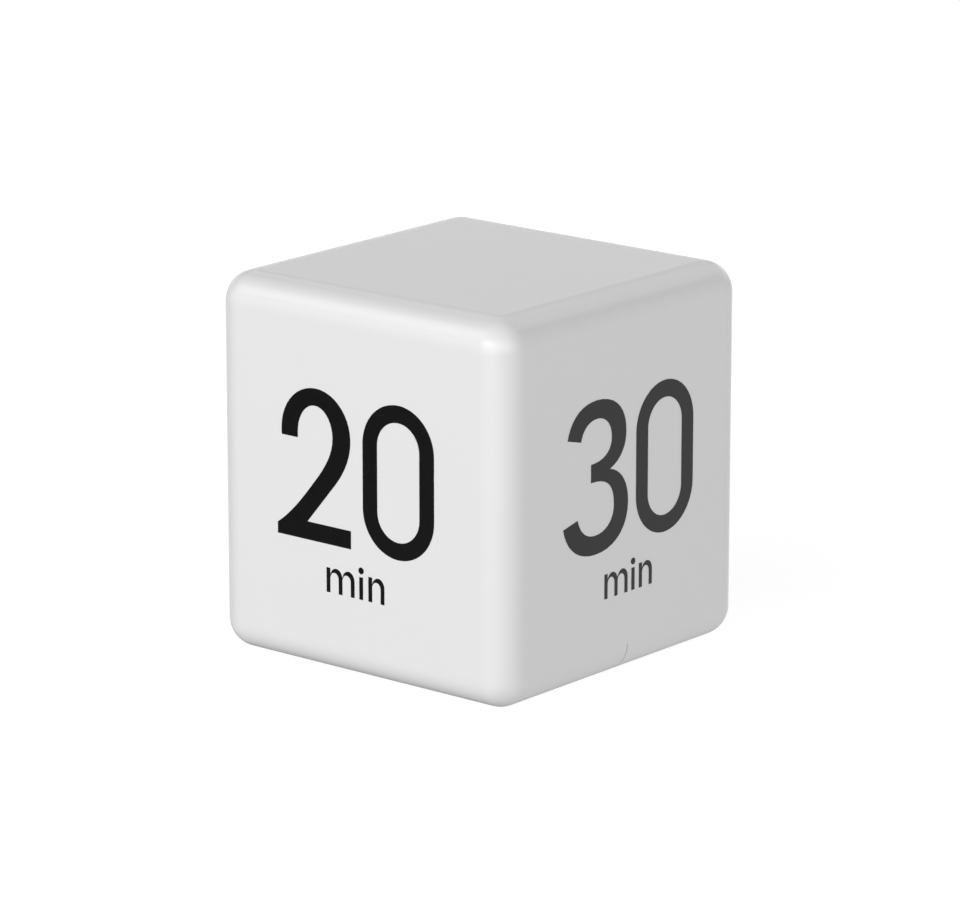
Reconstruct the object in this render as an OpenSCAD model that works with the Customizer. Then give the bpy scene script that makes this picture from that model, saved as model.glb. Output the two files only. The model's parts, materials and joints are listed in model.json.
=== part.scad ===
// Cube kitchen timer. Turning a numbered face up starts that countdown.
// Origin: centre of the bottom face. +Z up, the "20" face looks along -Y and the "30" face along +X.

/* [Case] */
// Width and depth of the case
body_w = 60; // [58:0.5:64]
// Height of the case
body_h = 62; // [60:0.5:66]
// Radius of every outer edge
edge_r = 5; // [4.6:0.1:5.6]
// Wall thickness
wall = 2; // [1.8:0.1:2.2]
// Wall left in front of the display
window_t = 1; // [0.6:0.1:1.2]
// Gap between the base shell and the battery door
seam = 0.2; // [0.1:0.05:0.4]
// How far that gap lies behind the middle of the case
seam_y = 0.35; // [0:0.05:0.5]

/* [Printing] */
// Thickness of the printed ink
ink_t = 0.05; // [0.03:0.01:0.1]
// Height of the large digits
digit_h = 24.78; // [20:0.02:26]
// Height of the digits' baseline above the bottom face
digit_z = 21.44; // [20:0.02:24]
// Height of the unit's baseline above the bottom face
unit_z = 13.62; // [12:0.02:15]
// How far the "20" print sits left of the middle of its face
print_20_off = 0.32; // [0:0.01:0.6]
// How far the "30" print sits right of the middle of its face
print_30_off = 0.43; // [0:0.01:0.6]

/* [Batteries] */
// Diameter of one AAA cell
cell_d = 10.5; // [10:0.1:10.5]
// Length of one AAA cell with its terminal
cell_l = 44.5; // [43.5:0.1:44.5]
// Compressed length of a contact spring
spring_l = 3.3; // [3.1:0.1:3.6]

/* [Hidden] */
$fn = 64;

half = body_w / 2;
inner_half = half - wall;
core = half - edge_r;          // half-width of the flat part of a face
inner_r = edge_r - wall;
e = 0.01;                      // overlap that lets one cut run past a face

// Where the base shell's fixed half and the door meet the main shell
part_z = edge_r;

// Battery bay
bay_x = cell_l / 2 + spring_l / 2 + 0.3;   // half-length inside, with a 0.3 contact at each end
plate_t = 0.3;
bay_wall = 1;
bay_y0 = -0.2;
cell_y = [5.5, 16.5];
bay_y1 = 22.2;
cell_z = 3.4 + cell_d / 2;
bay_top = cell_z + cell_d / 2 + 0.4;

// Door rails and hooks
rail_h = 0.85;
rail_gap = 0.1;
rail_z = part_z - 2 * rail_h - rail_gap - 0.1;
hook_x = 18;
hook_w = 5;

// Screws: head radius, head height, shank radius, recess depth
screw_head_r = 1.75;
screw_head_h = 1.3;
screw_r = 0.98;
pilot_r = 1;
clear_r = 1.15;
front_posts = [[-18, -22], [18, -22]];
rear_posts = [[-14, 25.6], [14, 25.6]];
front_post_z = 9;
rear_post_z = 7.9;
screw_l = 8;

// Board and display, from the top wall down
window_z = body_h - window_t;
diffuser_t = 0.5;
segment_t = 0.2;
display = [40.2, 12.8, 6.7];
segment_z = window_z - diffuser_t - segment_t;
board_top = segment_z - display[2];
board_t = 1.6;
board_low = board_top - board_t;
board_x = 24;
board_y = [-18.8, 22.6];
board_posts = [[-21, -15.5], [21, -15.5], [-21, 18.5], [21, 18.5]];
board_screw_r = 0.88;

// Tilt sensors
can_r = 2.5;
can_wall = 0.45;
can_l = 8.6;
header_l = 2;
ball_r = 1.6;
tilt_z = board_low - can_r - 0.3;
tilt_left = [10, -10.9, tilt_z];
tilt_right = [10, 10.9, tilt_z];
tilt_upright = [17.5, 0, board_low - can_l - 0.8];

// Buzzer, in the fixed half of the base
buzzer = [-8, -12.5];
buzzer_seat_z = 3;
buzzer_r = 10;
plate_thin = 0.2;

// Slide switch, in the fixed half of the base
switch_xy = [14, -11];
switch_travel = 4;
switch_posts = [[8.8, -11], [19.2, -11]];
switch_board_z = 9;
switch_board_t = 1;
recess_d = 0.8;

// Wire connector under the board
plug_x = -18.5;
function plug_y(i) = 2.5 * (i - 2.5);
plug_z = board_low - 6;
wire_r = 0.55;

// ---------- helpers ----------

module quarter_disc(r) {
    intersection() {
        circle(r);
        square(r);
    }
}

module quarters() {
    for (a = [0:90:270]) rotate(a) children();
}

module both_x() {
    children();
    mirror([1, 0, 0]) children();
}

// Quarter of a round bar along Y, filling the corner at +X +Z from (c, z)
module edge_bar(c, r, z) {
    translate([c, c, z]) rotate([90, 0, 0]) linear_extrude(2 * c) quarter_disc(r);
}

// Block with a rounded top and rounded upright edges, standing on z = 0
module domed_block(w, h, r) {
    c = w / 2 - r;
    translate([-c, -c, 0]) cube([2 * c, 2 * c, h]);
    quarters() {
        translate([c, -c, 0]) cube([r, 2 * c, h - r]);
        translate([c, c, 0]) rotate_extrude(angle = 90) square([r, h - r]);
        translate([c, c, h - r]) rotate_extrude(angle = 90) quarter_disc(r);
        edge_bar(c, r, h - r);
    }
}

// Rounded bottom of a block: everything below its edges' tangent line, with that line at z = 0
module dish_block(w, r, h) {
    c = w / 2 - r;
    translate([-c, -c, -h]) cube([2 * c, 2 * c, h]);
    mirror([0, 0, 1]) quarters() {
        translate([c, c, 0]) rotate_extrude(angle = 90) quarter_disc(r);
        edge_bar(c, r, 0);
    }
}

module slab(low, high) {
    translate(low) cube(high - low);
}

module at(points, z) {
    for (p = points) translate([p[0], p[1], z]) children();
}

// Flat plate with round ends, long along Y
module stadium(w, l, h) {
    linear_extrude(h) union() {
        square([w, l - w], center = true);
        for (s = [-1, 1]) translate([0, s * (l - w) / 2]) circle(w / 2);
    }
}

function ellipse_arc(c, rx, ry, a0, a1, n = 16) =
    [for (i = [0:n]) let (a = a0 + (a1 - a0) * i / n) c + [rx * cos(a), ry * sin(a)]];

// Points of a cubic curve after its start, so that curves chain without repeats
function curve(a, b, c, d, n = 9) =
    [for (i = [1:n]) let (t = i / n, s = 1 - t)
        s * s * s * a + 3 * s * s * t * b + 3 * s * t * t * c + t * t * t * d];

function unit(v) = v / norm(v);

// Smooth line through hand-placed points: a Catmull-Rom curve with k steps to each span
function smooth(p, k = 4) = let (n = len(p)) concat(
    [for (i = [0:n - 2], j = [0:k - 1]) let (
        t = j / k,
        a = p[max(i - 1, 0)], b = p[i], c = p[i + 1], d = p[min(i + 2, n - 1)])
        0.5 * (2 * b + t * (c - a) + t * t * (2 * a - 5 * b + 4 * c - d)
            + t * t * t * (3 * b - a - 3 * c + d))],
    [p[n - 1]]);

// Round tube swept along points. ref is any direction that the line never runs along.
module tube(p, r, sides, ref) {
    n = len(p);
    rings = [for (i = [0:n - 1]) let (
        t = unit(p[min(i + 1, n - 1)] - p[max(i - 1, 0)]),
        u = unit(cross(t, ref)),
        v = cross(u, t))
        for (k = [0:sides - 1]) p[i] + r * (cos(360 * k / sides) * u + sin(360 * k / sides) * v)];
    walls = [for (i = [0:n - 2], k = [0:sides - 1]) let (
        a = i * sides + k,
        b = i * sides + (k + 1) % sides)
        [a, b, b + sides, a + sides]];
    low_cap = [for (k = [sides - 1:-1:0]) k];
    high_cap = [for (k = [0:sides - 1]) (n - 1) * sides + k];
    polyhedron(rings, concat([low_cap], walls, [high_cap]));
}

// Pan-head screw pointing up, its head's bearing face at z = 0, with a cross recess
module screw(shank_r, l, head_r = screw_head_r, head_h = screw_head_h) {
    slot = head_r * 0.28;
    difference() {
        union() {
            translate([0, 0, -head_h]) cylinder(r = head_r, h = head_h);
            cylinder(r = shank_r, h = l - shank_r);
            translate([0, 0, l - shank_r]) cylinder(r1 = shank_r, r2 = shank_r * 0.3, h = shank_r);
        }
        for (a = [0, 90]) rotate(a) translate([-head_r * 0.6, -slot / 2, -head_h - e])
            cube([head_r * 1.2, slot, head_h * 0.6]);
    }
}

// ---------- case ----------

module main_shell() color("whitesmoke") difference() {
    union() {
        difference() {
            translate([0, 0, part_z]) domed_block(body_w, body_h - part_z, edge_r);
            translate([0, 0, part_z - 1]) domed_block(2 * inner_half, body_h - wall - part_z + 1, inner_r);
        }
        intersection() {
            inner_posts();
            mid_wall_block();
        }
        display_frame();
    }
    at(rear_posts, rear_post_z - e) cylinder(r = pilot_r, h = 9);
    at(front_posts, front_post_z - e) cylinder(r = pilot_r, h = 9);
    at(board_posts, board_top - e) cylinder(r = 0.9, h = 5);
    slab([-21.2, -7.4, body_h - wall - 1], [21.2, 7.4, window_z]);
}

// Block whose surface runs along the middle of the walls
module mid_wall_block() translate([0, 0, part_z])
    domed_block(body_w - wall, body_h - wall / 2 - part_z, edge_r - wall / 2);

// Screw posts, each tied to the nearest wall by a rib. They run up past the top wall's middle.
module inner_posts() {
    at(rear_posts, rear_post_z) {
        cylinder(r = 2.2, h = body_h);
        slab([-0.6, 0, 0], [0.6, 5, body_h]);
    }
    at(front_posts, front_post_z) {
        cylinder(r = 2.5, h = body_h);
        slab([-0.6, -8, 0], [0.6, 0, body_h]);
    }
    at(board_posts, board_top) cylinder(r = 2.2, h = body_h);
}

// Walls that keep stray light round the display
module display_frame() difference() {
    slab([-22.2, -8.4, board_top + 2.4], [22.2, 8.4, body_h - wall / 2]);
    slab([-21.2, -7.4, board_top], [21.2, 7.4, body_h - wall / 2 + 1]);
}

module base_skin() difference() {
    translate([0, 0, part_z]) dish_block(body_w, edge_r, edge_r);
    translate([0, 0, part_z]) dish_block(2 * inner_half, inner_r, inner_r);
    slab([-core, -core, part_z - e], [core, core, part_z + 1]);
}

// Rounded square ring inside the walls, with outer half-width a
module ring(a, t, z0, z1) difference() {
    prism(a, z0, z1);
    prism(a - t, z0 - 1, z1 + 1);
}

module prism(a, z0, z1) {
    r = a - core;
    translate([0, 0, z0]) linear_extrude(z1 - z0) union() {
        square(2 * core, center = true);
        for (k = [0:3]) rotate(90 * k) {
            translate([core, -core]) square([r, 2 * core]);
            translate([core, core]) quarter_disc(r);
        }
    }
}

module battery_bay() {
    x = bay_x + bay_wall;
    difference() {
        slab([-x, bay_y0 - bay_wall, rail_z], [x, bay_y1 + bay_wall, bay_top + bay_wall]);
        slab([-bay_x, bay_y0, 0], [bay_x, bay_y1, bay_top]);
        // Way through the rear wall for the door's hooks
        slab([1 - bay_x, bay_y1 - e, 0], [bay_x - 1, bay_y1 + bay_wall + e, wall + 1.3]);
    }
    both_x() slab([x - e, 0.2, rail_z], [x + 0.8, bay_y1 + bay_wall, rail_z + rail_h]);
    slab([-x, bay_y0 - bay_wall, wall / 2], [x, bay_y0, rail_z + e]);
}

module rear_tabs() for (p = rear_posts)
    slab([p[0] - 3, bay_y1 + bay_wall / 2, rear_post_z - 2.5], [p[0] + 3, inner_half - 0.3, rear_post_z]);

module switch_window() translate([switch_xy[0], switch_xy[1], 0]) {
    translate([0, 0, -e]) stadium(6.4, 13, recess_d + e);
    stadium(3.4, 9.2, wall + 1);
}

module sound_holes() at([buzzer], -1) {
    cylinder(r = 0.6, h = wall + 2);
    for (ring_r = [3.2, 6.2], a = [0:60:300])
        rotate(a + 5 * ring_r) translate([ring_r, 0, 0]) cylinder(r = 0.6, h = wall + 2);
}

module base_shell() color("whitesmoke") difference() {
    union() {
        intersection() {
            union() {
                base_skin();
                ring(inner_half - 0.1, 1.2, part_z - 1.6, part_z + 2.8);
            }
            slab([-half, -half, 0], [half, seam_y - seam / 2, 20]);
        }
        battery_bay();
        rear_tabs();
        at(front_posts, wall / 2) cylinder(r = 3, h = front_post_z - wall / 2);
        at([buzzer], wall / 2) cylinder(r = buzzer_r + 0.8, h = buzzer_seat_z + 0.6 - wall / 2);
        at(switch_posts, wall / 2) cylinder(r = 1.8, h = switch_board_z - wall / 2);
    }
    at(front_posts, -1) cylinder(r = 2, h = front_post_z - 4 + 1);
    at(front_posts, 0) cylinder(r = clear_r, h = 12);
    at(rear_posts, 0) cylinder(r = clear_r, h = 12);
    at([buzzer], wall) cylinder(r = buzzer_r - 0.8, h = 4);
    at([buzzer], buzzer_seat_z) cylinder(r = buzzer_r + 0.1, h = 4);
    sound_holes();
    switch_window();
    at(switch_posts, switch_board_z - 5) cylinder(r = 0.75, h = 6);
    both_x() slab([hook_x - hook_w / 2 - 0.3, -1.5, wall], [hook_x + hook_w / 2 + 0.3, 0, wall + 1.1]);
    for (y = cell_y) slab([-bay_x - e, y - 1.6, bay_top - e], [-bay_x + 0.6, y + 1.6, bay_top + 2]);
}

module battery_door() color("whitesmoke") difference() {
    union() {
        intersection() {
            base_skin();
            slab([-half, seam_y + seam / 2, 0], [half, half, part_z]);
        }
        both_x() slab([bay_x + bay_wall + 0.2, 0.6, rail_z + rail_h + rail_gap],
            [inner_half + 0.4, core - 1, rail_z + 2 * rail_h + rail_gap]);
        both_x() slab([hook_x - hook_w / 2, -2.4, wall + 0.1], [hook_x + hook_w / 2, 2.6, wall + 1]);
        both_x() slab([hook_x - hook_w / 2, seam_y + 0.4, wall - 0.5], [hook_x + hook_w / 2, 2.6, wall + 0.5]);
    }
    grip_marks();
}

// Shallow grip grooves and an arrow that points the way the door opens
module grip_marks() {
    for (i = [0:3]) translate([0, 12 + 2 * i, -1]) rotate(90) stadium(0.9, 16 - 1.6 * i, 1.35);
    translate([0, 20.5, -1]) linear_extrude(1.35) polygon([[-2.6, 0], [2.6, 0], [0, 3]]);
}

module base_screws() color("silver") {
    at(front_posts, front_post_z - 4) screw(screw_r, screw_l + 2);
    at(rear_posts, rear_post_z - 2.5) screw(screw_r, screw_l);
}

// ---------- printed numerals ----------

// Digits are drawn 24.54 high, on v = 0 with their left side at u = 0, and scaled to their real height
drawn_h = 24.54;
print_scale = digit_h / drawn_h;
bowl_r = 7.2;
counter_r = 4.27;

module digit_0() translate([bowl_r, 0]) difference() {
    union() {
        translate([-bowl_r, bowl_r]) square([2 * bowl_r, drawn_h - 2 * bowl_r]);
        for (v = [bowl_r, drawn_h - bowl_r]) translate([0, v]) circle(bowl_r);
    }
    union() {
        translate([-counter_r, 2.76 + counter_r]) square([2 * counter_r, drawn_h - 2 * (2.76 + counter_r)]);
        for (v = [2.76 + counter_r, drawn_h - 2.76 - counter_r]) translate([0, v]) circle(counter_r);
    }
}

module digit_1() polygon([
    [4.4, 0], [7.6, 0], [7.6, drawn_h], [5.1, drawn_h],
    [0.4, drawn_h - 3], [0.4, drawn_h - 6.1], [4.4, drawn_h - 3.5]
]);

module digit_2() polygon(concat(
    [[0, 0], [15.17, 0], [15.17, 2.92], [6.2, 2.92], [12, 9.75]],
    curve([12, 9.75], [13.75, 11.8], [15.17, 14.4], [15.17, 17.2]),
    ellipse_arc([8.07, 17.2], 7.1, 7.34, 10, 90, 10),
    ellipse_arc([8.07, 17.2], 7.1, 7.34, 98, 180, 10),
    [[0.99, 16.15], [4.33, 16.15]],
    ellipse_arc([7.93, 17.1], 3.6, 4.68, 180, 0, 18),
    curve([11.53, 17.1], [11.53, 14.3], [9.55, 11.7], [7.47, 9.25]),
    curve([7.47, 9.25], [5.2, 6.5], [2.9, 3.8], [0, 1.8])
));

module digit_3() polygon(concat(
    [[1, 19.42]],
    curve([1, 19.42], [1.75, 22.6], [4.3, 24.54], [8.15, 24.54]),
    curve([8.15, 24.54], [12.5, 24.54], [15.42, 22.3], [15.42, 18.3]),
    curve([15.42, 18.3], [15.42, 15.9], [14, 13.9], [11.4, 13]),
    curve([11.4, 13], [14.2, 12.4], [15.95, 10.1], [15.95, 7]),
    curve([15.95, 7], [15.95, 2.6], [12.6, 0], [7.85, 0]),
    curve([7.85, 0], [3.5, 0], [0.75, 2.2], [0, 5.55]),
    [[3.5, 6.35]],
    curve([3.5, 6.35], [4, 4.5], [5.4, 3.05], [7.85, 3.05]),
    curve([7.85, 3.05], [10.6, 3.05], [12.45, 4.7], [12.45, 7.1]),
    curve([12.45, 7.1], [12.45, 10.4], [10.8, 11.75], [6.75, 11.65]),
    [[6.75, 14.55]],
    curve([6.75, 14.55], [10.2, 14.55], [11.85, 16], [11.85, 18]),
    curve([11.85, 18], [11.85, 20.3], [10.2, 21.6], [8.15, 21.6]),
    curve([8.15, 21.6], [6.4, 21.6], [4.75, 20.7], [4.25, 18.6])
));

module digit_6() {
    difference() {
        digit_0();
        translate([bowl_r, bowl_r]) square([bowl_r + 1, drawn_h - 2 * bowl_r + 1.4]);
    }
    translate([bowl_r, bowl_r]) difference() {
        union() {
            circle(bowl_r);
            translate([-bowl_r, 0]) square([2 * bowl_r, 0.9]);
            translate([0, 0.9]) circle(bowl_r);
        }
        union() {
            translate([0, -0.17]) circle(counter_r);
            translate([-counter_r, -0.17]) square([2 * counter_r, 1.24]);
            translate([0, 1.07]) circle(counter_r);
        }
    }
}

unit_h = 4.03;
stem = 0.75;
stem_gap = 1.75;
pitch = stem + stem_gap;
shoulder = 1.5;                // height of an arch's outer curve
crown = 0.7;                   // stroke at an arch's top
hollow = 1;                    // height of an arch's inner curve

module upright(h) square([stem, h]);

// Arch that springs from the stem that ends at u = 0, with the stem it comes down to
module arch() polygon(concat(
    ellipse_arc([pitch / 2, unit_h - shoulder], pitch / 2, shoulder, 180, 0),
    [[pitch, 0], [stem_gap, 0]],
    ellipse_arc([stem_gap / 2, unit_h - crown - hollow], stem_gap / 2, hollow, 0, 180),
    [[-0.1, unit_h - crown - hollow], [-0.1, unit_h - shoulder]]
));

// The unit "min", centred on u = 0
module unit_min() translate([-5.94, 0]) {
    upright(unit_h - 0.05);
    for (i = [0, 1]) translate([stem + i * pitch, 0]) arch();
    translate([6.75, 0]) upright(3.62);
    translate([6.75 + stem / 2, 4.66]) circle(0.54);
    translate([8.62, 0]) {
        upright(unit_h - 0.05);
        translate([stem, 0]) arch();
    }
}

// Ink on the face that looks along -Y, turned by a about Z
module on_face(a) color("black") rotate(a)
    translate([0, -half, 0]) rotate([90, 0, 0]) scale(print_scale) linear_extrude(ink_t / print_scale)
    children();

module numeral(first_w, gap) {
    total = first_w + gap + 2 * bowl_r;
    base_v = digit_z / print_scale;
    translate([-total / 2, base_v]) children();
    translate([total / 2 - 2 * bowl_r, base_v]) digit_0();
    translate([0, unit_z / print_scale]) unit_min();
}

module print_20_min() translate([-print_20_off, 0, 0]) on_face(0) numeral(15.17, 2.5) digit_2();
module print_30_min() translate([0, print_30_off, 0]) on_face(90) numeral(15.95, 2) digit_3();
module print_60_min() on_face(180) numeral(2 * bowl_r, 2.5) digit_6();
module print_10_min() on_face(270) numeral(7.6, 3.4) digit_1();

// ---------- battery bay ----------

// Cell along X, positive end towards +X, its middle at x = 0
module cell() {
    nub = 0.9;
    body_l = cell_l - nub;
    translate([-cell_l / 2, 0, 0]) rotate([0, 90, 0]) rotate_extrude() polygon([
        [0, 0.15], [3.2, 0.15], [3.4, 0], [cell_d / 2 - 0.4, 0], [cell_d / 2, 0.4],
        [cell_d / 2, body_l - 0.4], [cell_d / 2 - 0.4, body_l], [2.6, body_l], [2.6, body_l - 0.25],
        [1.9, body_l - 0.25], [1.9, cell_l - 0.25], [1.65, cell_l], [0, cell_l]
    ]);
}

cell_shift = bay_x - plate_t - cell_l / 2;

module aaa_cell_inner() color("darkslategray")
    translate([cell_shift, cell_y[0], cell_z]) cell();
module aaa_cell_outer() color("darkslategray")
    translate([-cell_shift, cell_y[1], cell_z]) mirror([1, 0, 0]) cell();

// Contact plate on the bay's end wall, from y0 to y1
module contact_plate(y0, y1) slab([bay_x - plate_t, y0, cell_z - 4.7], [bay_x, y1, cell_z + 4.7]);

module contact_tab(y) slab([bay_x - plate_t, y - 1.3, cell_z + 4.7 - e], [bay_x, y + 1.3, bay_top + 3.4]);

module bridge_contact() color("silver") contact_plate(cell_y[0] - 4.2, cell_y[1] + 4.2);

module negative_contact() color("silver") mirror([1, 0, 0]) {
    contact_plate(cell_y[0] - 4.2, cell_y[0] + 4.2);
    contact_tab(cell_y[0]);
}

module positive_contact() color("silver") mirror([1, 0, 0]) {
    contact_plate(cell_y[1] - 4.2, cell_y[1] + 4.2);
    contact_tab(cell_y[1]);
}

// Conical spring from the plate at x = bay_x - plate_t towards the cell
module contact_spring(y) {
    wire = 0.32;
    turns = 3.5;
    steps = 56;
    x0 = bay_x - plate_t - wire - 0.02;
    travel = spring_l - 2 * wire - 0.04;
    tube([for (i = [0:steps]) let (
            k = i / steps,
            a = 360 * turns * k,
            climb = min(1, max(0, (k * turns - 0.5) / (turns - 1))),
            r = 3.7 - 1.5 * climb)
        [x0 - travel * climb, y + r * cos(a), cell_z + r * sin(a)]], wire, 8, [1, 0, 0]);
}

module bridge_spring() color("silver") contact_spring(cell_y[1]);
module negative_spring() color("silver") mirror([1, 0, 0]) contact_spring(cell_y[0]);

// ---------- board and display ----------

pin_spots = [for (i = [0:5], s = [-1, 1]) [-12.7 + 5.08 * i, 5.1 * s]];

module main_board() color("darkgreen") difference() {
    slab([-board_x, board_y[0], board_low], [board_x, board_y[1], board_top]);
    at(board_posts, board_low - 1) cylinder(r = 1.1, h = board_t + 2);
    at(pin_spots, board_low - 1) cylinder(r = 0.45, h = board_t + 2);
}

module board_screws() color("silver") at(board_posts, board_low) screw(board_screw_r, 6);

module display_housing() color("lightgrey") difference() {
    slab([-display[0] / 2, -display[1] / 2, board_top], [display[0] / 2, display[1] / 2, segment_z]);
    for (s = [-1, 1]) slab([-3, s * (display[1] / 2 + 0.1) - 0.5, board_top - 1],
        [3, s * (display[1] / 2 + 0.1) + 0.5, board_top + 2]);
}

module display_pins() color("silver") at(pin_spots, board_low - 0.8)
    cylinder(r = 0.3, h = board_t + 0.8);

// One bar of a seven-segment digit, centred, with pointed ends
module segment_bar(l) {
    t = 0.6;
    polygon([[-l / 2, 0], [-l / 2 + t, t], [l / 2 - t, t], [l / 2, 0], [l / 2 - t, -t], [-l / 2 + t, -t]]);
}

module seven_segments() {
    w = 4.9;
    for (v = [-w, 0, w]) translate([0, v]) segment_bar(w - 0.5);
    for (s = [-1, 1], v = [-w / 2, w / 2]) translate([s * w / 2, v]) rotate(90) segment_bar(w - 0.5);
}

module display_segments() color("red") translate([0, 0, segment_z]) linear_extrude(segment_t) {
    for (x = [-15, -6, 6, 15]) translate([x, 0]) seven_segments();
    for (v = [-2, 2]) translate([0, v]) circle(0.7);
}

module display_diffuser() color("white")
    slab([-20.8, -7, window_z - diffuser_t], [20.8, 7, window_z]);

module controller_chip() color("dimgray") slab([-11, 12.5, board_low - 1.75], [-1, 16.5, board_low - 0.2]);

module controller_leads() color("silver") for (i = [0:7], s = [-1, 1])
    translate([-10.45 + 1.27 * i, 14.5, 0]) {
        slab([-0.2, min(s * 2, s * 2.9), board_low - 1], [0.2, max(s * 2, s * 2.9), board_low - 0.8]);
        slab([-0.2, min(s * 2.7, s * 2.9), board_low - 1], [0.2, max(s * 2.7, s * 2.9), board_low]);
    }

module crystal() color("silver") translate([-6, -12.5, board_low - 3.5]) rotate(90) stadium(4.4, 11, 3.5);

module capacitor() color("navy") translate([-6, 0, board_low - 7.4]) rotate_extrude()
    polygon([[0, 0], [2.3, 0], [2.5, 0.2], [2.5, 6], [2.3, 6.3], [2.5, 6.6], [2.5, 7.4], [0, 7.4]]);

module resistors() color("black") for (i = [0:6])
    slab([1.2 + 2.6 * i, 16.2, board_low - 0.55], [2.4 + 2.6 * i, 18.2, board_low]);

module wire_connector() color("ivory") difference() {
    slab([plug_x - 2.5, -8.4, plug_z], [plug_x + 2.5, 8.4, board_low]);
    for (i = [0:5])
        translate([plug_x, plug_y(i), plug_z - 1]) cylinder(r = wire_r + 0.2, h = 3);
}

// ---------- tilt sensors ----------

// Play around a ball inside its can
ball_play = 0.05;

// Sensor along +X: the header's free end at x = 0, the closed end of the can at x = can_l
module tilt_can() rotate([0, 90, 0]) difference() {
    translate([0, 0, 0.4]) cylinder(r = can_r, h = can_l - 0.4);
    translate([0, 0, -1]) cylinder(r = can_r - can_wall, h = can_l - can_wall + 1);
}

module tilt_header() rotate([0, 90, 0]) difference() {
    cylinder(r = can_r - can_wall - 0.03, h = header_l);
    for (s = [-1, 1]) translate([0, s, -1]) cylinder(r = 0.25, h = header_l + 2);
}

module tilt_ball()
    translate([header_l + 0.25 + ball_r, 0, ball_r + can_wall + ball_play - can_r]) sphere(ball_r);

module tilt_pins_flat() for (s = [-1, 1]) translate([0, s, 0]) {
    translate([-1.2, 0, 0]) rotate([0, 90, 0]) cylinder(r = 0.22, h = header_l + 1.35);
    translate([-1.2, 0, 0]) sphere(0.22);
    translate([-1.2, 0, 0]) cylinder(r = 0.22, h = can_r + 0.3);
}

module pose_left() translate(tilt_left) rotate(45) translate([-can_l / 2, 0, 0]) children();
module pose_right() translate(tilt_right) rotate(-45) translate([-can_l / 2, 0, 0]) children();
// The upright sensor hangs with its header at the board, so its can opens upwards
module pose_upright() translate(tilt_upright) translate([0, 0, can_l]) rotate([0, 90, 0]) children();

module tilt_can_left() color("silver") pose_left() tilt_can();
module tilt_can_right() color("silver") pose_right() tilt_can();
module tilt_can_upright() color("silver") pose_upright() tilt_can();
module tilt_header_left() color("dimgray") pose_left() tilt_header();
module tilt_header_right() color("dimgray") pose_right() tilt_header();
module tilt_header_upright() color("dimgray") pose_upright() tilt_header();
module tilt_ball_left() color("gold") pose_left() tilt_ball();
module tilt_ball_right() color("gold") pose_right() tilt_ball();
module tilt_ball_upright() color("gold")
    translate(tilt_upright) translate([0, 0, can_wall + ball_play + ball_r]) sphere(ball_r);

module tilt_pins() color("goldenrod") {
    pose_left() tilt_pins_flat();
    pose_right() tilt_pins_flat();
    pose_upright() for (s = [-1, 1])
        translate([-0.8, s, 0]) rotate([0, 90, 0]) cylinder(r = 0.22, h = header_l + 0.9);
}

// ---------- buzzer and switch ----------

module buzzer_plate() color("gold") at([buzzer], buzzer_seat_z)
    cylinder(r = buzzer_r, h = plate_thin);

module buzzer_ceramic() color("ivory") at([buzzer], buzzer_seat_z + plate_thin)
    cylinder(r = buzzer_r * 0.7, h = 0.22);

module switch_pose(z) translate([switch_xy[0], switch_xy[1] - switch_travel / 2, z]) children();

// Recessed slider cap: a fin in the window, a flange behind it and a socket for the lever
module switch_knob() color("gray") switch_pose(0) difference() {
    union() {
        translate([0, 0, 0.15]) stadium(3, 4.8, wall + 0.3);
        slab([-2.8, -4.2, wall + 0.15], [2.8, 4.2, wall + 1.05]);
        slab([-1.8, -1.8, wall + 1], [1.8, 1.8, wall + 2.6]);
    }
    slab([-0.85, -0.85, wall + 1], [0.85, 0.85, wall + 3]);
    for (v = [-1.2, 0, 1.2]) slab([-1.1, v - 0.2, 0], [1.1, v + 0.2, 0.4]);
}

module switch_lever() color("black") switch_pose(0)
    slab([-0.75, -0.75, wall + 1.15], [0.75, 0.75, switch_board_z - 1.8]);

module switch_body() color("silver") translate([switch_xy[0], switch_xy[1], 0]) difference() {
    slab([-1.8, -4.3, switch_board_z - 3.6], [1.8, 4.3, switch_board_z]);
    slab([-0.9, -3.1, switch_board_z - 4], [0.9, 3.1, switch_board_z - 1.6]);
}

module switch_board() color("darkgreen") difference() {
    slab([switch_xy[0] - 7.4, switch_xy[1] - 5.3, switch_board_z],
        [switch_xy[0] + 7.4, switch_xy[1] + 5.3, switch_board_z + switch_board_t]);
    at(switch_posts, switch_board_z - 1) cylinder(r = 0.9, h = 4);
}

module switch_board_screws() color("silver") at(switch_posts, switch_board_z + switch_board_t)
    mirror([0, 0, 1]) screw(0.73, 5, 1.4, 0.9);

// ---------- wiring ----------

// Lead from a solder point to place i of the connector
module lead(i, points) {
    end = [[plug_x, plug_y(i), plug_z - 6], [plug_x, plug_y(i), plug_z + 1.8]];
    tube(smooth(concat(points, end)), wire_r, 8, [0.9, 0.4, 0.1]);
}

tab_x = plate_t - bay_x + wire_r + 0.1;
tab_z = [bay_top + 1.6, bay_top + 3.8];

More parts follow.
